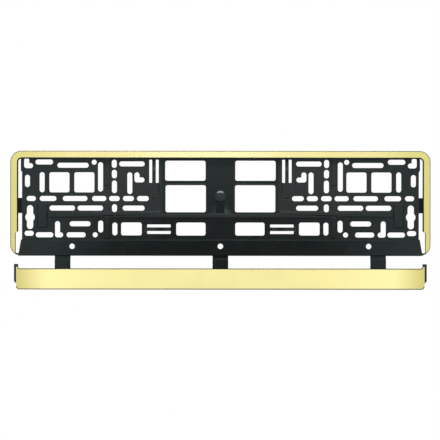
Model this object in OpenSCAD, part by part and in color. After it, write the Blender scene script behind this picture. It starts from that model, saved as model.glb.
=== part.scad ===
// Number plate holder: a black base moulding pierced for screws, with a rim that has a
// gold-foiled face, and a gold-foiled closing strip on three film-hinged straps.
// X runs along the plate, Z is up and the front faces -Y. The back plane is Y = 0.
// The origin is the centre screw hole of the lower band, on the back plane.
// The strip is drawn open, hanging below the rim.

/* [Plate] */
// Length of the number plate
plate_w = 520; // [518:1:560]
// Height of the number plate
plate_h = 110; // [108:1:130]
// Free height above the plate, so that it can be dropped in
plate_gap = 0.4; // [0.3:0.1:1.5]
// Free room between each end of the plate and the rim's wall
end_room = 4; // [3.2:0.1:6]
// Free length between each end of the plate and its stop
stop_gap = 0.7; // [0.3:0.1:1.2]

/* [Rim] */
// Depth of the rim, from the back plane to the foil
rim_depth = 10; // [9.6:0.1:12]
// Thickness of the rim's outer wall
rim_wall = 1.8; // [1.5:0.1:2.6]
// Thickness of the lip in front of the plate
lip_t = 1.5; // [1.2:0.1:1.6]
// Width of the lip across its front
lip_w = 10.1; // [9:0.1:11]
// Width of the bare bevel along the lip's inner edge
bevel_w = 1.8; // [1:0.1:3]
// How far back the bevel falls
bevel_drop = 0.8; // [0.3:0.1:1.1]
// Width of the rounded outer edge, outside the foil
edge_w = 0.8; // [0.5:0.1:1.5]
// How far the lip's outer edge stands back behind its inner edge
lip_tilt = 0.35; // [0:0.05:0.5]
// Radius of the rim's outer corners
corner_r = 14; // [12:0.5:16]
// Height where the lip narrows to let the strip in
step_z = 29.4; // [28:0.1:34]
// Rise of the slanted step there
step_rise = 1.6; // [0.8:0.1:4]
// Width of the narrow lip beside the strip
narrow_w = 6.9; // [6.2:0.1:7.4]
// Bare margin between the narrow lip's inner edge and the foil
foil_margin = 0.9; // [0.1:0.1:1.2]
// Thickness of the foil
foil_t = 0.2; // [0.1:0.05:0.4]

/* [Base sheet] */
// Thickness of the pierced sheet
sheet_t = 2; // [1.8:0.1:2.2]
// Width of the gap between the sheet and the lip at each end
side_gap = 4.3; // [4.2:0.1:5.6]
// Depth of the raised ridge, ribs and heads that carry the plate
rib_top = 3.2; // [3:0.1:3.6]
// Wall thickness around the hollow back of a raised rib
rib_wall = 1.4; // [1:0.1:1.8]
// Thickness of the recessed panels
panel_t = 1.3; // [1:0.1:1.6]
// Half width of the recessed centre panel
panel_x = 74.7; // [73.5:0.1:75.5]
// Bottom edge of the centre panel
panel_z = 53.8; // [53:0.1:54.5]
// Width of the raised border around a window
border_w = 1.6; // [1:0.1:2]
// Radius of the corners of the windows
window_r = 2.6; // [1:0.1:4]

/* [Band] */
// Height of the lower band, whose top edge carries the plate
band_h = 20.7; // [19.5:0.1:21]
// Depth of the band's front
band_top = 4.6; // [4.2:0.1:4.8]
// Thickness of the band's skin and walls
band_wall = 1.9; // [1.4:0.1:2.2]
// Radius of the three screw holes
screw_r = 3.4; // [2.5:0.05:3.6]
// Distance of each outer screw hole in from the end of the sheet
screw_end = 63.6; // [63:0.1:100]
// Height of the screw holes above the bottom edge
screw_z = 12.1; // [10:0.1:13]
// Radius of the boss behind each screw hole
boss_r = 6; // [5:0.1:7]

/* [Slots] */
// Width of the screw slots
slot_w = 6.3; // [5:0.1:6.8]
// Radius of the four small round holes
small_r = 3.15; // [2:0.05:3.4]
// Height of the middle row of slots
mid_z = 72.6; // [72.2:0.1:73]
// Height of the row under it
second_z = 60.5; // [60.3:0.1:60.7]
// Height of the low row of slots
low_z = 26.6; // [26:0.1:26.8]
// Side of the square openings
square_w = 25.4; // [20:0.1:27]
// Width of the slits beside a spring bar
slit_w = 3.6; // [3:0.1:4]
// Width of a spring bar
spring_w = 4.7; // [3:0.1:4.8]
// Thickness of a spring bar
spring_t = 1.3; // [1:0.1:1.6]
// How far a spring bar bows toward the plate
spring_rise = 2; // [1:0.1:2.1]

/* [Straps] */
// Width of a strap
strap_w = 20; // [12:0.5:22]
// Thickness of a strap
strap_t = 1.1; // [0.8:0.1:1.3]
// Length of a strap between its two film hinges
strap_len = 21.4; // [21:0.1:22.5]
// Distance of each outer strap's middle in from the end of the sheet
strap_end = 51.6; // [49:0.1:110]
// Drop of the upper film hinge below the band
hinge_drop = 4.2; // [3.6:0.1:5]
// Gap left between a strap's round end and the nose it bends on
film_gap = 0.15; // [0.1:0.05:0.25]
// Thickness of the web and nose that carry a hinge
lug_t = 1.5; // [1.2:0.1:1.8]

/* [Strip] */
// Height of the strip's face
strip_h = 26.6; // [24:0.1:27]
// Wall thickness of the strip
strip_wall = 1.6; // [1.2:0.1:1.8]
// Depth of the strip's flanges, behind its face
flange_d = 2; // [1:0.1:2]
// Gap between the strip's ends and the narrow lip when it is shut
strip_gap = 0.5; // [0.3:0.1:0.8]
// Gap under the shut strip, above the rim's bottom edge
strip_lift = 0.3; // [0.2:0.1:0.6]
// How far each tongue reaches past the strip's end
tongue_out = 2.8; // [2:0.1:3]
// Thickness of the tongues
tongue_t = 1.4; // [1:0.1:1.5]
// Bottom of the tongue, above the strip's bottom edge
tongue_z = 7.5; // [5:0.1:9]
// Gap between a tongue and the back of the lip when shut
tongue_gap = 0.1; // [0.1:0.05:0.2]
// Width of the ear that rises at each end
ear_w = 2.6; // [2:0.1:3.4]
// How far the tongue stands above the foiled tip of the ear
ear_hook = 3.4; // [2:0.1:3.8]
// Radius of the hollow corner between ear and top edge
ear_r = 2.2; // [1.8:0.1:2.4]
// Radius of the strip's bottom corners
strip_r = 4; // [2:0.5:5]
// Bare edge along the strip's top and bottom
strip_edge = 1.1; // [0.3:0.1:1.3]

/* [Hidden] */
$fn = 96;
black = "#2e3333";
strap_black = "#363a3a";
gold = "#e6de8c";
// Overlap used where two pieces of one moulding join, and where a cut runs out
join = 0.2;

// Outline sizes that follow from the plate
frame_w = plate_w + 2 * (end_room + rim_wall);
frame_h = band_h + plate_h + plate_gap + rim_wall;
half = frame_w / 2;
sheet_x = half - lip_w - side_gap;
screw_x = sheet_x - screw_end;
strap_x = sheet_x - strap_end;
front = rim_depth - foil_t;
lip_low = front - lip_tilt;
lip_back = front - lip_t;
narrow_x = half - narrow_w;
window_top = frame_h - lip_w;

// The bridge that ties each end of the sheet to the rim
bridge_z = 54.1;
bridge_h = 19.3;

// Extra width of the sheet at its top corners, and how far down it goes
web_w = 1.5;
web_drop = 24.9;

// Each band end starts past the end of the sheet, and its foot runs out to the rim's wall
band_x = sheet_x + 1.1;
corner_foot = sheet_x + 4.1;

// Height where the slanted end of the band meets the rim's wall, and the gusset that fills
// the corner there, as how far it reaches past the foot and its bottom edge
foot_z = 3.6;
gusset = [2.1, 1.6];

// Thickness of the sheet between the ridge and the band
low_panel_t = panel_t + 0.3;

// Spacing of the openings behind the top lip, and the web left between two of them
core_pitch = 46;
core_web = 8;

// Spacing of the cross ribs behind the band, and the slope along its top and bottom edges
band_pitch = 31;
band_edge = 0.9;

// Corner radius of the slits, and how far a spring bar's root runs into the sheet
slit_r = 0.8;
spring_root = 0.5;

// Hinge lines, as depths from the back plane and heights above the bottom edge
hinge_d = band_top + film_gap + strap_t / 2;
hinge_a = -hinge_drop;
hinge_b = hinge_a - strap_len;
strip_z = strip_lift - 2 * strap_len;
strip_x = narrow_x - strip_gap;
tongue_front = lip_back - tongue_gap;
face_back = front - strip_wall;
flange_back = face_back - flange_d;
nose_back = hinge_d + strap_t / 2 + film_gap;
ear_z = step_z - 2 * strip_lift;

// Slots of the right half as [x, z, length], or [x, length] in a row whose height is named.
// Upper ones are measured down from the top edge, and end ones in from the end of the sheet,
// so that they keep their place in a longer or a taller rim.
top_flat = [[223.2, 14.1, 22.2], [186.8, 18.2, 39.7], [112.1, 16.4, 32.2]];
top_upright = [[134.5, 16.3, 10.2], [134.4, 29.3, 10.7], [134.3, 45.4, 15.9]];
mid_flat = [[218.4, 21.1], [184.1, 31.1], [153.6, 17.9], [134.3, 13.4], [116.5, 13.9], [98.2, 14.9]];
second_flat = [[200.4, 32.3], [164.8, 32.3], [109.9, 27.9]];
low_flat = [[222.8, 22.2], [182.8, 24.2]];
// Tall slots as [x, drop of the upper end, height of the lower end above the middle row]
tall_upright = [[225.9, 27, 7.9], [151.9, 14.35, 8.85], [114.8, 27.1, 5.8]];
// Slots at the ends of the sheet, and the inner ones
end_low = [9.1, 28.5, 11.6];
end_mid = [11.7, 11.6];
end_top = [6.9, 38.1, 15.5];
inner_flat = [177.8, 40.6, 26.4];
inner_upright = [[151.7, 37.1, 15.1], [133.7, 34.1, 16.2], [134.2, 60.4, 9.9]];
// Small round holes, squares and windows of the right half
round_top = [160, 14.3];
round_low = 158.6;
squares = [204, 172.4];
square_drop = 39.8;
// Windows as [x, z, width, height]
top_window = [44.4, 25, 51.1, 25.3];
mid_window = [44, 72.4, 51, 34.2];
wide_window = [37.4, 34, 37.1, 16.4];
small_window = [112.7, 34.1, 26.1, 16.3];
// Spring bars as [x, z, length]
top_spring = [84.2, 25.7, 29.2];
low_spring = [77.9, 33.8, 29.8];
// Keyhole: slot width and length, bulb radius, in from the end of the sheet and up
key_w = 7.9;
key_len = 30.2;
key_r = 6;
key_at = [10.2, 49];
// L-shaped slots as [outer x, bottom z, width, height]
l_top = [2.7, 21.9, 11.2, 12.9];
l_mid = [108.9, 39.8, 12.6, 12.7];
l_low = [209.5, 23.4, 10.2, 20.4];
// Raised ridge and ribs
ridge = [48.4, 56.3];
ridge_x = 219.4;
head = [219.4, 232, 35.4, 65.8];
rib_x = [140.2, 146.9];
rib_low = 22.1;
rib_high = 44.3;
// Domed button and the recess under it
dome_z = 76;
dome_r = 6.5;
dome_rise = 2.1;
dome_well = [10.7, 16, 0.6];

// Shallow step around the centre panel as [x, z] of the lower and upper end of the slanted
// stretch of its edge, then its depth and its bottom edge
zone = [89.4, 82.4, 93.4, 90.3];
zone_drop = 0.25;
zone_low = ridge[1] + 0.8;
// Blind pocket beside the middle slots as x, width, height and depth
blind_pocket = [84, 4.5, 1.8, 0.9];
// Small round mark on the ridge as x, z, radius and depth
mark = [134, 51.5, 0.8, 0.7];

// An outline drawn in X and Z, made solid from one depth to another
module slab(back, to) rotate([90, 0, 0]) translate([0, 0, back]) linear_extrude(to - back) children();

// The same thing on both halves
module both() {
    children();
    mirror([1, 0, 0]) children();
}

module box2(x0, x1, z0, z1) translate([x0, z0]) square([x1 - x0, z1 - z0]);

module round_box(w, h, r) {
    square([w - 2 * r, h], center = true);
    square([w, h - 2 * r], center = true);
    for (x = [-1, 1], z = [-1, 1]) translate([x * (w / 2 - r), z * (h / 2 - r)]) circle(r);
}

module flat_slot(len, w = slot_w) {
    square([len - w, w], center = true);
    for (x = [-1, 1]) translate([x * (len - w) / 2, 0]) circle(w / 2);
}

module upright_slot(len, w = slot_w) rotate(90) flat_slot(len, w);

// L slot: an upright leg on the outer side and a foot that points inward
module l_slot(outer, z, w, h) {
    r = slot_w / 2;
    translate([outer - r, z + h / 2]) upright_slot(h);
    translate([outer - w / 2, z + r]) flat_slot(w);
}

// A prism along the X axis, its outline drawn in Y and Z
module along_x(x0, x1) translate([x0, 0, 0]) rotate([90, 0, 90]) linear_extrude(x1 - x0) children();

// A pad whose four sides slope at 45 degrees, narrower at its front
module pad(x0, x1, z0, z1, back, to, slope = 1) {
    run = slope * (to - back);
    intersection() {
        translate([0, 0, z0 - abs(run)]) linear_extrude(z1 - z0 + 2 * abs(run))
            polygon([[x0, -back], [x1, -back], [x1 - run, -to], [x0 + run, -to]]);
        along_x(x0 - abs(run), x1 + abs(run))
            polygon([[-back, z0], [-back, z1], [-to, z1 - run], [-to, z0 + run]]);
    }
}

// A profile of width and depth, carried round the rim: sides, top and all four corners
module round_rim(low = true) {
    span = frame_w - 2 * corner_r;
    both() translate([-half, 0, corner_r]) linear_extrude(frame_h - 2 * corner_r)
        mirror([0, 1]) children();
    translate([-span / 2, 0, frame_h]) rotate([0, 90, 0]) linear_extrude(span)
        mirror([0, 1]) children();
    both() translate([span / 2, 0, frame_h - corner_r]) rotate([90, 0, 0])
        rotate_extrude(angle = 90) translate([corner_r, 0]) mirror([1, 0]) children();
    if (low) both() translate([span / 2, 0, corner_r]) rotate([90, 0, 0]) rotate([0, 0, -90])
        rotate_extrude(angle = 90) translate([corner_r, 0]) mirror([1, 0]) children();
}

// Rim section: outer wall, lip with a bevelled inner edge, and a rounded outer edge
module rim_section() polygon([[0, 0], [rim_wall, 0], [rim_wall, lip_back], [lip_w, lip_back],
    [lip_w, front - bevel_drop], [lip_w - bevel_w, front], [edge_w, lip_low],
    [edge_w * 0.3, lip_low - edge_w * 0.3], [0, lip_low - edge_w]]);

module foil_section() polygon([[edge_w, lip_low], [lip_w - bevel_w, front],
    [lip_w - bevel_w, front + foil_t], [edge_w, lip_low + foil_t]]);

// What is cut from the rim so that the strip can come in at the bottom
module strip_way(margin = 0) {
    x = narrow_x + margin;
    // the lip narrows at the step, with a sloped end
    slab(lip_back - join, rim_depth + join)
        polygon([[-x, -join], [x, -join], [x, step_z], [half - lip_w, step_z + step_rise],
            [lip_w - half, step_z + step_rise], [-x, step_z]]);
}

module rim() difference() {
    round_rim() rim_section();
    strip_way();
    // under the narrow lip the wall drops to the level of the band
    slab(band_top, rim_depth) box2(-narrow_x, narrow_x, -join, corner_r);
}

// Outline of the pierced sheet, which rises from the band's top wall to the rim
module sheet_outline() {
    box2(-sheet_x, sheet_x, band_h - band_wall, frame_h - rim_wall / 2);
    // the web at the top corners is a little wider
    both() polygon([[sheet_x - join, frame_h - web_drop - 2], [sheet_x + web_w, frame_h - web_drop],
        [sheet_x + web_w, frame_h - rim_wall / 2], [sheet_x - join, frame_h - rim_wall / 2]]);
}

module bridges() both() {
    slab(0, sheet_t) box2(sheet_x - join, half - rim_wall + join, bridge_z, bridge_z + bridge_h);
    // stops for the ends of the plate
    stop = plate_w / 2 + stop_gap;
    slab(0, lip_back + join) box2(stop, stop + rib_wall, bridge_z, bridge_z + bridge_h);
    slab(0, lip_back + join) box2(stop, half - rim_wall + join, bridge_z, bridge_z + rib_wall);
}

module slots() both() {
    for (s = top_flat) translate([s[0], frame_h - s[1]]) flat_slot(s[2]);
    for (s = top_upright) translate([s[0], frame_h - s[1]]) upright_slot(s[2]);
    for (s = tall_upright) {
        upper = frame_h - s[1];
        lower = mid_z + s[2];
        translate([s[0], (upper + lower) / 2]) upright_slot(upper - lower);
    }
    for (s = mid_flat) translate([s[0], mid_z]) flat_slot(s[1]);
    for (s = second_flat) translate([s[0], second_z]) flat_slot(s[1]);
    for (s = low_flat) translate([s[0], low_z]) flat_slot(s[1]);
    for (s = inner_upright) translate([s[0], s[1]]) upright_slot(s[2]);
    translate([inner_flat[0], inner_flat[1]]) flat_slot(inner_flat[2]);
    translate([sheet_x - end_low[0], end_low[1]]) flat_slot(end_low[2]);
    translate([sheet_x - end_mid[0], mid_z]) flat_slot(end_mid[1]);
    translate([sheet_x - end_top[0], frame_h - end_top[1]]) upright_slot(end_top[2]);
    translate([round_top[0], frame_h - round_top[1]]) circle(small_r);
    translate([round_low, low_z]) circle(small_r);
    for (x = squares) translate([x, frame_h - square_drop]) round_box(square_w, square_w, window_r);
    // keyhole
    translate([sheet_x - key_at[0], key_at[1]]) {
        upright_slot(key_len, key_w);
        circle(key_r);
    }
    l_slot(sheet_x - l_top[0], frame_h - l_top[1], l_top[2], l_top[3]);
    l_slot(l_mid[0], frame_h - l_mid[1], l_mid[2], l_mid[3]);
    l_slot(l_low[0], l_low[1], l_low[2], l_low[3]);
}

module window_at(w, grow = 0) translate([w[0], w[1]])
    round_box(w[2] + 2 * grow, w[3] + 2 * grow, window_r + grow);

// The window that is measured from the top edge
high_window = [top_window[0], frame_h - top_window[1], top_window[2], top_window[3]];

module windows() both() for (w = [high_window, mid_window, wide_window, small_window]) window_at(w);

// Twin slits on each side of a spring bar
module slits() both() {
    pocket = spring_w + 2 * slit_w;
    translate([top_spring[0], frame_h - top_spring[1]]) round_box(pocket, top_spring[2], slit_r);
    translate([low_spring[0], low_spring[1]]) round_box(low_spring[2], pocket, slit_r);
}

// A spring bar along X, bowed toward the plate, its ends in the sheet
module spring_bar(len) {
    chord = len + 2 * spring_root;
    r = (chord * chord / 4 + spring_rise * spring_rise) / (2 * spring_rise);
    mid = spring_t / 2 + join;
    intersection() {
        translate([0, r - mid - spring_rise, -spring_w / 2]) difference() {
            cylinder(r = r + spring_t / 2, h = spring_w, $fn = 180);
            translate([0, 0, -join]) cylinder(r = r - spring_t / 2, h = spring_w + 2 * join, $fn = 180);
        }
        translate([-chord / 2, -mid - 2 * spring_rise, -spring_w / 2])
            cube([chord, mid + 2 * spring_rise, spring_w]);
    }
}

module springs() both() {
    translate([top_spring[0], 0, frame_h - top_spring[1]]) rotate([0, 90, 0]) spring_bar(top_spring[2]);
    translate([low_spring[0], 0, low_spring[1]]) spring_bar(low_spring[2]);
}

// Openings behind the top lip, where the mould's core forms the lip's underside
module core_outs() {
    wide = core_pitch - core_web;
    count = floor((sheet_x + core_web / 2) / core_pitch - 0.5);
    for (n = [-count:count]) box2(n * core_pitch - wide / 2, n * core_pitch + wide / 2,
        window_top + join, frame_h - rim_wall);
}

module raised() {
    from = sheet_t - join;
    pad(-ridge_x - join, ridge_x + join, ridge[0], ridge[1], from, rib_top, 0.5);
    both() {
        pad(head[0], head[1], head[2], head[3], from, rib_top, 0.5);
        pad(rib_x[0], rib_x[1], rib_low, ridge[0] + 1, from, rib_top, 0.5);
        pad(rib_x[0], rib_x[1], frame_h - rib_high, window_top, from, rib_top, 0.5);
    }
}

// Grooves in the back of the raised ridge and ribs, so that the walls stay even
module cored_backs() {
    deep = rib_top - rib_wall;
    ridge_end = ridge_x - 2 * rib_wall;
    slab(-join, deep) {
        both() {
            box2(panel_x + 2 * rib_wall, ridge_end, ridge[0] + rib_wall, ridge[1] - rib_wall);
            box2(rib_x[0] + rib_wall, rib_x[1] - rib_wall, rib_low + rib_wall, ridge[0] - rib_wall);
            box2(rib_x[0] + rib_wall, rib_x[1] - rib_wall, frame_h - rib_high + rib_wall,
                window_top - rib_wall);
            box2(head[0] + rib_wall, head[1] - rib_wall, head[2] + rib_wall, head[3] - rib_wall);
        }
    }
}

// The step around the centre panel, and the two blind marks
module shallow_cuts() both() {
    slab(sheet_t - zone_drop, sheet_t + join)
        polygon([[panel_x, zone_low], [zone[0], zone_low], [zone[0], zone[1]],
            [zone[2], zone[3]], [zone[2], window_top + join], [panel_x, window_top + join]]);
    slab(sheet_t - blind_pocket[3], sheet_t + join) translate([blind_pocket[0], mid_z])
        square([blind_pocket[1], blind_pocket[2]], center = true);
    slab(rib_top - mark[3], rib_top + join) translate([mark[0], mark[1]]) circle(mark[2]);
}

// Window borders, and the domed button over its well
module panel_relief() {
    both() slab(0, sheet_t) {
        window_at(high_window, border_w);
        window_at(mid_window, border_w);
    }
    cap_r = (dome_r * dome_r + dome_rise * dome_rise) / (2 * dome_rise);
    intersection() {
        translate([0, cap_r - panel_t - dome_rise, dome_z]) sphere(cap_r);
        translate([-dome_r, -panel_t - dome_rise - join, dome_z - dome_r])
            cube([2 * dome_r, dome_rise + join + panel_t / 2, 2 * dome_r]);
    }
}

module sheet() {
    difference() {
        union() {
            difference() {
                union() {
                    slab(0, sheet_t) sheet_outline();
                    raised();
                }
                pad(-panel_x, panel_x, panel_z, window_top + join, panel_t, rib_top + join, -0.5);
                pad(-rib_x[0], rib_x[0], band_h, ridge[0], low_panel_t, sheet_t + join, -0.5);
                slab(panel_t - dome_well[2], sheet_t)
                    box2(-dome_well[0] / 2, dome_well[0] / 2, panel_z, panel_z + dome_well[1]);
                shallow_cuts();
            }
            panel_relief();
        }
        cored_backs();
        slab(-join, rib_top + join) {
            slots();
            windows();
            slits();
            core_outs();
        }
    }
    springs();
}

// Outline of the band, with its slanted ends
module band_outline(inset = 0) polygon([[inset - corner_foot, inset], [corner_foot - inset, inset],
    [corner_foot - inset, foot_z], [band_x - inset, band_h - inset],
    [inset - band_x, band_h - inset], [inset - corner_foot, foot_z]]);

// The band: a skin on walls, hollow at the back, with a boss for each screw
module band() difference() {
    union() {
        difference() {
            slab(0, band_top) band_outline();
            slab(-join, band_top - band_wall) band_outline(band_wall);
            // sloped edges along the top and bottom of the front
            for (z = [0, band_h]) along_x(-half, half) translate([-band_top, z]) rotate(45)
                square(band_edge * sqrt(2), center = true);
        }
        slab(0, band_top - join) for (x = [-screw_x, 0, screw_x]) translate([x, screw_z]) circle(boss_r);
        both() slab(0, band_top) box2(corner_foot - join, corner_foot + gusset[0], gusset[1], foot_z);
        // cross ribs behind the skin
        for (n = [1:floor((sheet_x - boss_r) / band_pitch)], side = [-1, 1])
            slab(0, band_top - join) translate([side * n * band_pitch, band_h / 2])
                square([rib_wall, band_h - 2 * band_edge], center = true);
    }
    slab(-join, band_top + join) for (x = [-screw_x, 0, screw_x]) translate([x, screw_z]) circle(screw_r);
}

// Carrier of an upper film hinge: a web down from the band and a nose behind the strap's end
module hinge_carrier(x) {
    slab(0, lug_t) box2(x - strap_w / 2, x + strap_w / 2, hinge_a - lug_t / 2, band_wall);
    slab(0, band_top) box2(x - strap_w / 2, x + strap_w / 2, hinge_a - lug_t / 2, hinge_a + lug_t / 2);
}

module base_body() {
    rim();
    sheet();
    band();
    bridges();
    for (x = [-strap_x, 0, strap_x]) hinge_carrier(x);
}

module rim_foil_body() difference() {
    round_rim() foil_section();
    strip_way(foil_margin);
}

// One strap: a flat blade, rounded about both hinge lines
module strap_body(x) along_x(x - strap_w / 2, x + strap_w / 2) {
    translate([-hinge_d - strap_t / 2, hinge_b]) square([strap_t, strap_len]);
    for (z = [hinge_a, hinge_b]) translate([-hinge_d, z]) circle(strap_t / 2);
}

// Front outline of the strip: the ears rise at its ends with a hollow corner.
// The foil keeps off the top, the bottom and the ears' inner edges by a bare margin.
module strip_outline(edge = 0) {
    ear_in = strip_x - ear_w;
    difference() {
        union() {
            box2(strip_r - strip_x, strip_x - strip_r, edge, ear_z);
            box2(-strip_x, strip_x, strip_r, ear_z);
            for (x = [-1, 1]) translate([x * (strip_x - strip_r), strip_r]) circle(strip_r - edge);
        }
        // everything above the top edge, between the ears
        box2(ear_r - ear_in, ear_in - ear_r, strip_h - edge, ear_z + 1);
        box2(-ear_in - edge, ear_in + edge, strip_h + ear_r, ear_z + 1);
        for (x = [-1, 1]) translate([x * (ear_in - ear_r), strip_h + ear_r]) circle(ear_r + edge);
    }
}

// The strip's moulding, drawn with its bottom edge at height 0
module strip_moulding() {
    slab(face_back, front) strip_outline();
    // flanges along the top and bottom, and a wall at each end
    slab(flange_back, face_back + join) {
        box2(-strip_x + strip_r, strip_x - strip_r, 0, strip_wall);
        box2(-strip_x, strip_x, strip_h - strip_wall, strip_h);
        both() box2(strip_x - strip_wall, strip_x, strip_r, strip_h);
    }
    // tongues that catch behind the narrow lips
    out = strip_x + tongue_out;
    both() slab(tongue_front - tongue_t, tongue_front)
        polygon([[strip_x - ear_w, tongue_z], [strip_x, tongue_z], [out, tongue_z + tongue_out],
            [out, ear_z + ear_hook], [strip_x - ear_w, ear_z + ear_hook]]);
    // the tongue is backed onto the face and its ear
    both() slab(tongue_front - tongue_t, face_back + join)
        box2(strip_x - ear_w, strip_x, tongue_z, ear_z);
    // noses for the lower film hinges
    for (x = [-strap_x, 0, strap_x]) slab(nose_back, face_back + join)
        box2(x - strap_w / 2, x + strap_w / 2, hinge_b - strip_z - lug_t / 2, hinge_b - strip_z + lug_t / 2);
}

module to_row() translate([0, 0, -screw_z]) children();

module base() color(black) to_row() base_body();

module rim_foil() color(gold) to_row() rim_foil_body();

module strap_left() color(strap_black) to_row() strap_body(-strap_x);

module strap_centre() color(strap_black) to_row() strap_body(0);

module strap_right() color(strap_black) to_row() strap_body(strap_x);

module strip() color(black) to_row() translate([0, 0, strip_z]) strip_moulding();

module strip_foil() color(gold) to_row() translate([0, 0, strip_z]) slab(front, front + foil_t)
    strip_outline(strip_edge);

base();
rim_foil();
strap_left();
strap_centre();
strap_right();
strip();
strip_foil();
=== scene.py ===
import itertools
import math

import bmesh
import bpy
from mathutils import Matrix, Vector


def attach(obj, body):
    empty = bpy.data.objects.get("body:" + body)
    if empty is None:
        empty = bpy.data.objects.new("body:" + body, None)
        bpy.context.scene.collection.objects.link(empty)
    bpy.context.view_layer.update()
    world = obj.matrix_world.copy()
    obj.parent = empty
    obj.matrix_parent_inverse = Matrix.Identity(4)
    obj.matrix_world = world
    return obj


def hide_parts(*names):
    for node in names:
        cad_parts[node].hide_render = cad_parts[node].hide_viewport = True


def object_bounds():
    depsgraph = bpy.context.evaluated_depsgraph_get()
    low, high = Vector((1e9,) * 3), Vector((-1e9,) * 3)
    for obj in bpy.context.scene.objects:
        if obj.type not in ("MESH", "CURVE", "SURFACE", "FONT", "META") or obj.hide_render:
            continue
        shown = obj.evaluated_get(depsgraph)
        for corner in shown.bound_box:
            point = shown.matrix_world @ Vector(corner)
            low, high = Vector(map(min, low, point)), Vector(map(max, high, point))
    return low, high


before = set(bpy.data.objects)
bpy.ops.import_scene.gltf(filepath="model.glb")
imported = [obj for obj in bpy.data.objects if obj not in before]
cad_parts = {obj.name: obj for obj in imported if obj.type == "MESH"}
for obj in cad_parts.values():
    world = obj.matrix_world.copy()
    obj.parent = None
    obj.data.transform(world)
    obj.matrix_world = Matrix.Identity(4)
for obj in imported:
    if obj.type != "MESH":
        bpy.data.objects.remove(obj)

cad_low, cad_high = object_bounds()

# The base: one black injection moulding, with the pierced sheet, the rim that the plate sits
# behind, the hollow band with its three screw holes, the spring bars and the domed button.
# The mould leaves a small radius on every edge.


def soften_edges(node, name, radius):
    """The moulding's shape with its arrises rounded, as it leaves the mould."""
    shape = bmesh.new()
    shape.from_mesh(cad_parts[node].data)
    weld = 1e-6
    bmesh.ops.remove_doubles(shape, verts=shape.verts, dist=weld)
    flat = math.radians(0.5)
    bmesh.ops.dissolve_limit(shape, angle_limit=flat, verts=shape.verts, edges=shape.edges)
    # the rounding can fill a face with holes wrongly, so such a face is split into triangles
    hollow = [face for face in shape.faces if not all(corner.is_convex for corner in face.loops)]
    bmesh.ops.triangulate(shape, faces=hollow)
    share = shape.edges.layers.float.new("bevel_weight_edge")
    turn = math.radians(30)
    arrises = {edge for edge in shape.edges if edge.is_manifold and edge.calc_face_angle() > turn}
    # two arrises that meet at a narrow angle leave no room for a rounding, so both stay sharp
    narrow = math.radians(20)
    sharp = set()
    for corner in shape.verts:
        meeting = [edge for edge in corner.link_edges if edge in arrises]
        for one, other in itertools.combinations(meeting, 2):
            away = one.other_vert(corner).co - corner.co
            if away.angle(other.other_vert(corner).co - corner.co) < narrow:
                sharp |= {one, other}
    for edge in arrises:
        edge[share] = edge not in sharp
        edge.smooth = edge not in sharp
    mesh = bpy.data.meshes.new(name)
    shape.to_mesh(mesh)
    shape.free()
    mesh.shade_smooth()
    piece = bpy.data.objects.new(name, mesh)
    bpy.context.scene.collection.objects.link(piece)
    arris = piece.modifiers.new("arris", "BEVEL")
    arris.width = radius
    arris.segments = 2
    arris.limit_method = "WEIGHT"
    arris.use_clamp_overlap = False
    arris.harden_normals = True
    even = piece.modifiers.new("even", "WEIGHTED_NORMAL")
    even.weight = 100
    even.keep_sharp = True
    graph = bpy.context.evaluated_depsgraph_get()
    rounded = bpy.data.meshes.new_from_object(piece.evaluated_get(graph))
    rounded.name = name
    # the rounding can push a corner a hair outward, and the moulding's own box is the limit
    for axis in range(3):
        spread = [corner.co[axis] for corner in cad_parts[node].data.vertices]
        least, most = min(spread), max(spread)
        for corner in rounded.vertices:
            corner.co[axis] = min(max(corner.co[axis], least), most)
    piece.modifiers.clear()
    piece.data = rounded
    return piece


def start_material(name):
    """A new material: its nodes, its links, its shader and the object's own coordinates."""
    material = bpy.data.materials.new(name)
    material.use_nodes = True
    nodes = material.node_tree.nodes
    links = material.node_tree.links
    shader = nodes["Principled BSDF"]
    place = nodes.new("ShaderNodeTexCoord")
    return material, nodes, links, shader, place.outputs["Object"]


def noise(nodes, links, place, scale, detail=2.0, roughness=0.5):
    texture = nodes.new("ShaderNodeTexNoise")
    texture.inputs["Scale"].default_value = scale
    texture.inputs["Detail"].default_value = detail
    texture.inputs["Roughness"].default_value = roughness
    links.new(place, texture.inputs["Vector"])
    return texture.outputs["Fac"]


def remap(nodes, links, value, low, high, start=0.3, end=0.7):
    ramp = nodes.new("ShaderNodeMapRange")
    ramp.inputs["From Min"].default_value = start
    ramp.inputs["From Max"].default_value = end
    ramp.inputs["To Min"].default_value = low
    ramp.inputs["To Max"].default_value = high
    links.new(value, ramp.inputs["Value"])
    return ramp.outputs["Result"]


def mix_colour(nodes, links, share, first, second):
    blend = nodes.new("ShaderNodeMix")
    blend.data_type = "RGBA"
    blend.inputs[6].default_value = (*first, 1)
    blend.inputs[7].default_value = (*second, 1)
    links.new(share, blend.inputs["Factor"])
    return blend.outputs[2]


def ripple(nodes, links, height, shader, strength, distance):
    bump = nodes.new("ShaderNodeBump")
    bump.inputs["Strength"].default_value = strength
    bump.inputs["Distance"].default_value = distance
    links.new(height, bump.inputs["Height"])
    links.new(bump.outputs["Normal"], shader.inputs["Normal"])


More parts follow.
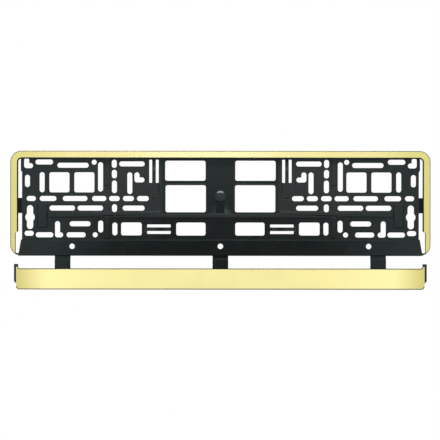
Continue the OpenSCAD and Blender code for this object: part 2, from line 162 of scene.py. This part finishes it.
def black_plastic(name, dark, pale, rough_low, rough_high):
    """Black polypropylene: slow flow marks in the colour, a finer one in the gloss."""
    material, nodes, links, shader, place = start_material(name)
    flow = noise(nodes, links, place, 22.0, detail=3.0)
    share = remap(nodes, links, flow, 0.0, 1.0)
    links.new(mix_colour(nodes, links, share, dark, pale), shader.inputs["Base Color"])
    haze = noise(nodes, links, place, 60.0, detail=4.0)
    links.new(remap(nodes, links, haze, rough_low, rough_high), shader.inputs["Roughness"])
    skin = noise(nodes, links, place, 900.0, detail=2.0)
    ripple(nodes, links, skin, shader, 0.12, 0.00002)
    shader.inputs["Specular IOR Level"].default_value = 0.2
    shader.inputs["Specular Tint"].default_value = (0.80, 1.0, 1.0, 1)
    return material


def dress(piece, material):
    piece.data.materials.clear()
    piece.data.materials.append(material)


# The button in the middle is polished: its gloss is higher inside this radius from its centre.
button_at = (0, -0.0025, 0.0639)
button_radius = 0.0068
button_rim = button_radius + 0.0003
skin_dark, skin_pale = (0.0032, 0.0042, 0.0041), (0.0048, 0.0060, 0.0058)
rough_low, rough_high = 0.14, 0.20
base_skin = black_plastic("base_skin", skin_dark, skin_pale, rough_low, rough_high)
nodes = base_skin.node_tree.nodes
links = base_skin.node_tree.links
place = nodes["Texture Coordinate"].outputs["Object"]
from_button = nodes.new("ShaderNodeVectorMath")
from_button.operation = "DISTANCE"
from_button.inputs[1].default_value = button_at
links.new(place, from_button.inputs[0])
polish = remap(nodes, links, from_button.outputs["Value"], 0.40, 0.20,
               start=button_radius, end=button_rim)

# The sheet's colour is mixed toward a grey as a painted sheen, so it is greyer than the polished
# band and rim: most from the ridge up, less under it, toward the ends and in the sunk centre
# panel.
sheet_middle, sheet_half = -0.0024, 0.0012
ridge_foot, ridge_edge = 0.0358, 0.0364
panel_inside, panel_outside = 0.0735, 0.0747
border_front, panel_front = -0.0019, -0.0015
sheen_fade_inner, sheen_fade_outer = 0.15, 0.23
painted_sheen_grey = (0.0145, 0.0160, 0.0160)


def combine(nodes, links, operation, first, second):
    both = nodes.new("ShaderNodeMath")
    both.operation = operation
    links.new(first, both.inputs[0])
    links.new(second, both.inputs[1])
    return both.outputs[0]


def size_of(nodes, links, value, less=0.0):
    """How far a value is from another, whichever way."""
    offset = nodes.new("ShaderNodeMath")
    offset.operation = "SUBTRACT"
    offset.inputs[1].default_value = less
    links.new(value, offset.inputs[0])
    size = nodes.new("ShaderNodeMath")
    size.operation = "ABSOLUTE"
    links.new(offset.outputs[0], size.inputs[0])
    return size.outputs[0]


parts = nodes.new("ShaderNodeSeparateXYZ")
links.new(place, parts.inputs["Vector"])
depth_off = size_of(nodes, links, parts.outputs["Y"], sheet_middle)
reach = size_of(nodes, links, parts.outputs["X"])
beside_panel = remap(nodes, links, reach, 0.3, 1.0, start=panel_inside, end=panel_outside)
raised = remap(nodes, links, parts.outputs["Y"], 1.0, 0.3, start=border_front, end=panel_front)
shares = [
    remap(nodes, links, parts.outputs["Z"], 0.3, 1.0, start=ridge_foot, end=ridge_edge),
    remap(nodes, links, reach, 1.0, 0.1, start=sheen_fade_inner, end=sheen_fade_outer),
    combine(nodes, links, "MAXIMUM", beside_panel, raised),
    remap(nodes, links, from_button.outputs["Value"], 0.0, 1.0,
          start=button_radius, end=button_rim)]
# Painted sheen: this share mixes the sheet's colour toward the paler grey.
painted_sheen_share = remap(nodes, links, depth_off, 1.0, 0.0, start=sheet_half, end=1.1 * sheet_half)
for share in shares:
    painted_sheen_share = combine(nodes, links, "MULTIPLY", painted_sheen_share, share)
skin_colour = nodes["Principled BSDF"].inputs["Base Color"]
sheen_greyed = nodes.new("ShaderNodeMix")
sheen_greyed.data_type = "RGBA"
sheen_greyed.inputs[7].default_value = (*painted_sheen_grey, 1)
links.new(painted_sheen_share, sheen_greyed.inputs["Factor"])
links.new(skin_colour.links[0].from_socket, sheen_greyed.inputs[6])
links.new(sheen_greyed.outputs[2], skin_colour)

# The bridges to the rim shine less: a painted shade, standing for the rim lip's shadow on them.
bridge_middle, bridge_half = 0.2571, 0.0056
bridge_low, bridge_front = 0.020, -0.0045
bridge_fade = 0.0005
bridge_off = size_of(nodes, links, reach, bridge_middle)
painted_shade_shine = remap(nodes, links, bridge_off, 0.3, 1.0, start=bridge_half, end=1.02 * bridge_half)
for axis, edge in (("Z", bridge_low), ("Y", bridge_front)):
    past = remap(nodes, links, parts.outputs[axis], 1.0, 0.0, start=edge, end=edge + bridge_fade)
    painted_shade_shine = combine(nodes, links, "MAXIMUM", painted_shade_shine, past)
# Painted shade: the specular level is lowered on the bridges, where the rim's shadow falls.
painted_shade_shine = combine(nodes, links, "MULTIPLY", polish, painted_shade_shine)
links.new(painted_shade_shine, nodes["Principled BSDF"].inputs["Specular IOR Level"])

base = soften_edges("base", "base_moulding", 0.0002)
dress(base, base_skin)
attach(base, "holder")
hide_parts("base")

# The rim's foil: a gold hot-stamped layer on the front of the lips, laid on with a heated die.
# It follows the lip round both upper corners and ends beside the strip's way in.


def gold_foil(name, inner_tone, shaded_end_tone, fade_from, fade_to):
    """Metallised yellow foil under clear lacquer, deeper toward the ends as a painted shade."""
    material, nodes, links, shader, place = start_material(name)
    tone = noise(nodes, links, place, 9.0, detail=2.0)
    share = remap(nodes, links, tone, 0.0, 1.0)
    middle = mix_colour(nodes, links, share, inner_tone, [1.025 * part for part in inner_tone])
    along = nodes.new("ShaderNodeSeparateXYZ")
    links.new(place, along.inputs["Vector"])
    reach = nodes.new("ShaderNodeMath")
    reach.operation = "ABSOLUTE"
    links.new(along.outputs["X"], reach.inputs[0])
    # Painted shade: the foil darkens toward both ends, where its faces turn away from the light.
    end_shade_share = remap(nodes, links, reach.outputs[0], 0.0, 1.0, start=fade_from, end=fade_to)
    end_shade_mix = nodes.new("ShaderNodeMix")
    end_shade_mix.data_type = "RGBA"
    end_shade_mix.inputs[7].default_value = (*shaded_end_tone, 1)
    links.new(end_shade_share, end_shade_mix.inputs["Factor"])
    links.new(middle, end_shade_mix.inputs[6])
    links.new(end_shade_mix.outputs[2], shader.inputs["Base Color"])
    haze = noise(nodes, links, place, 45.0, detail=3.0)
    links.new(remap(nodes, links, haze, 0.36, 0.42), shader.inputs["Roughness"])
    peel = noise(nodes, links, place, 260.0, detail=2.0)
    ripple(nodes, links, peel, shader, 0.05, 0.00002)
    shader.inputs["Metallic"].default_value = 0.9
    shader.inputs["Coat Weight"].default_value = 1.0
    shader.inputs["Coat Roughness"].default_value = 0.15
    return material


rim_foil = soften_edges("rim_foil", "rim_foil_layer", 0.00006)
dress(rim_foil, gold_foil("rim_foil_skin", (0.62, 0.555, 0.232), (0.52, 0.48, 0.142),
                          fade_from=0.190, fade_to=0.245))
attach(rim_foil, "holder")
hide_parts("rim_foil")

# The three straps: thin blades moulded with the base and the strip, which bend at a film hinge
# at each end. They are a little paler than the base, from the stretching at the hinges.
strap_skin = black_plastic("strap_skin", (0.0036, 0.0042, 0.0045), (0.0048, 0.0056, 0.0060),
                           0.18, 0.25)
for side in ("left", "centre", "right"):
    strap = soften_edges(f"strap_{side}", f"strap_blade_{side}", 0.00015)
    dress(strap, strap_skin)
    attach(strap, "straps")
    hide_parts(f"strap_{side}")

# The closing strip: a black channel moulding that folds up in front of the band. Its ears and
# tongues snap behind the narrow lips, and its face carries the same foil as the rim.
strip = soften_edges("strip", "strip_moulding", 0.0002)
dress(strip, black_plastic("strip_skin", skin_dark, skin_pale, rough_low, rough_high))
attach(strip, "strip")
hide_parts("strip")

strip_foil = soften_edges("strip_foil", "strip_foil_layer", 0.00006)
dress(strip_foil, gold_foil("strip_foil_skin", (0.81, 0.73, 0.317), (0.52, 0.46, 0.124),
                            fade_from=0.220, fade_to=0.256))
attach(strip_foil, "strip")
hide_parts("strip_foil")

# The floor: a plain white sheet far below the holder. Close to the point under the holder it shades
# as paper does, and farther out the camera and glossy faces see it as white as the room.


def pale_floor(name, near, far):
    material, nodes, links, shader, place = start_material(name)
    shader.inputs["Base Color"].default_value = (0.8, 0.8, 0.8, 1)
    shader.inputs["Roughness"].default_value = 0.7
    white = nodes.new("ShaderNodeEmission")
    white.inputs["Color"].default_value = (1, 1, 1, 1)
    white.inputs["Strength"].default_value = 1.0
    path = nodes.new("ShaderNodeLightPath")
    seen = nodes.new("ShaderNodeMath")
    seen.operation = "MAXIMUM"
    links.new(path.outputs["Is Camera Ray"], seen.inputs[0])
    links.new(path.outputs["Is Glossy Ray"], seen.inputs[1])
    away = nodes.new("ShaderNodeVectorMath")
    away.operation = "LENGTH"
    links.new(place, away.inputs[0])
    clean = remap(nodes, links, away.outputs["Value"], 0.85, 1.0, start=near, end=far)
    part = nodes.new("ShaderNodeMath")
    part.operation = "MULTIPLY"
    links.new(seen.outputs[0], part.inputs[0])
    links.new(clean, part.inputs[1])
    blend = nodes.new("ShaderNodeMixShader")
    links.new(part.outputs[0], blend.inputs["Fac"])
    links.new(shader.outputs["BSDF"], blend.inputs[1])
    links.new(white.outputs["Emission"], blend.inputs[2])
    links.new(blend.outputs["Shader"], nodes["Material Output"].inputs["Surface"])
    return material


floor_drop = 0.30
floor_half = 40.0
floor_mesh = bpy.data.meshes.new("floor")
plan = bmesh.new()
corners = [(-floor_half, -floor_half), (floor_half, -floor_half),
           (floor_half, floor_half), (-floor_half, floor_half)]
plan.faces.new([plan.verts.new((x, y, 0)) for x, y in corners])
plan.to_mesh(floor_mesh)
plan.free()
floor = bpy.data.objects.new("floor", floor_mesh)
floor.location = (0, 0, cad_low.z - floor_drop)
bpy.context.scene.collection.objects.link(floor)
floor.data.materials.append(pale_floor("floor_paper", 0.4, 1.3))

# The room: a white surround whose light comes mostly from above and from both sides, with a
# darker patch in front where the photographer stands.
world = bpy.data.worlds.new("white_room")
world.use_nodes = True
bpy.context.scene.world = world
nodes = world.node_tree.nodes
links = world.node_tree.links
sky = nodes["Background"]
sky.inputs["Color"].default_value = (1, 1, 1, 1)
sky.inputs["Strength"].default_value = 0.55
backdrop = nodes.new("ShaderNodeBackground")
backdrop.inputs["Color"].default_value = (1, 1, 1, 1)
backdrop.inputs["Strength"].default_value = 1.0
path = nodes.new("ShaderNodeLightPath")
seen = nodes.new("ShaderNodeMath")
seen.operation = "MAXIMUM"
links.new(path.outputs["Is Camera Ray"], seen.inputs[0])
links.new(path.outputs["Is Transmission Ray"], seen.inputs[1])
mirrored = nodes.new("ShaderNodeMath")
mirrored.operation = "MAXIMUM"
links.new(seen.outputs[0], mirrored.inputs[0])
links.new(path.outputs["Is Glossy Ray"], mirrored.inputs[1])
either = nodes.new("ShaderNodeMixShader")
links.new(mirrored.outputs[0], either.inputs["Fac"])
links.new(sky.outputs["Background"], either.inputs[1])
links.new(backdrop.outputs["Background"], either.inputs[2])
links.new(either.outputs["Shader"], nodes["World Output"].inputs["Surface"])


def softbox(name, place, target, width, height, glow):
    """A rectangular diffused lamp that faces a point; glow is how bright its front looks."""
    lamp = bpy.data.lights.new(name, "AREA")
    lamp.shape = "RECTANGLE"
    lamp.size = width
    lamp.size_y = height
    lamp.energy = glow * math.pi * width * height
    body = bpy.data.objects.new(name, lamp)
    body.location = place
    body.rotation_euler = (Vector(target) - Vector(place)).to_track_quat("-Z", "Y").to_euler()
    body.visible_camera = False
    bpy.context.scene.collection.objects.link(body)


middle = (cad_low + cad_high) / 2
softbox("glint_light", (-0.02, -1.2, 0.247), middle, 0.20, 0.05, 9.0)
softbox("overhead_light", (0, -0.70, 1.03), middle, 1.8, 0.50, 8.5)
softbox("left_light", (-0.38, -1.2, 0.0), middle, 0.30, 0.7, 0.84)
softbox("right_light", (0.38, -1.2, 0.0), middle, 0.30, 0.7, 0.75)

# A black card round the camera's axis, in front of the holder: the studio is dark there, so the
# middle of the black faces stays deep. The camera doesn't see it, and it throws no shadow.
card_half = (0.21, 0.10)
card_mesh = bpy.data.meshes.new("dark_card")
card_mesh.from_pydata([(-card_half[0], 0, -card_half[1]), (card_half[0], 0, -card_half[1]),
                       (card_half[0], 0, card_half[1]), (-card_half[0], 0, card_half[1])],
                      [], [(0, 1, 2, 3)])
dark_card = bpy.data.objects.new("dark_card", card_mesh)
dark_card.location = (0, -1.15, -0.035)
dark_card.visible_camera = False
dark_card.visible_shadow = False
bpy.context.scene.collection.objects.link(dark_card)
material, _, _, shader, _ = start_material("card_black")
shader.inputs["Base Color"].default_value = (0.02, 0.02, 0.02, 1)
shader.inputs["Emission Color"].default_value = (0.9, 1.0, 1.0, 1)
shader.inputs["Emission Strength"].default_value = 0.15
shader.inputs["Roughness"].default_value = 0.9
dark_card.data.materials.append(material)

# The camera stands straight in front and far off, at the height of the middle of the picture.
# Its lens makes the picture as wide as the photograph's, and it leans by a hair as that does.
camera_distance = 5.0
picture_width = 0.5566
picture_middle = (-0.0005, 0.0334)
camera_roll = math.radians(-0.05)
lens_data = bpy.data.cameras.new("camera")
lens_data.sensor_width = 36.0
lens_data.lens = lens_data.sensor_width * camera_distance / picture_width
lens_data.clip_end = 200
camera = bpy.data.objects.new("camera", lens_data)
camera.location = (picture_middle[0], cad_low.y - camera_distance, picture_middle[1])
camera.rotation_euler = (math.radians(90), camera_roll, 0)
bpy.context.scene.collection.objects.link(camera)
bpy.context.scene.camera = camera
bpy.context.scene.view_settings.view_transform = "Standard"
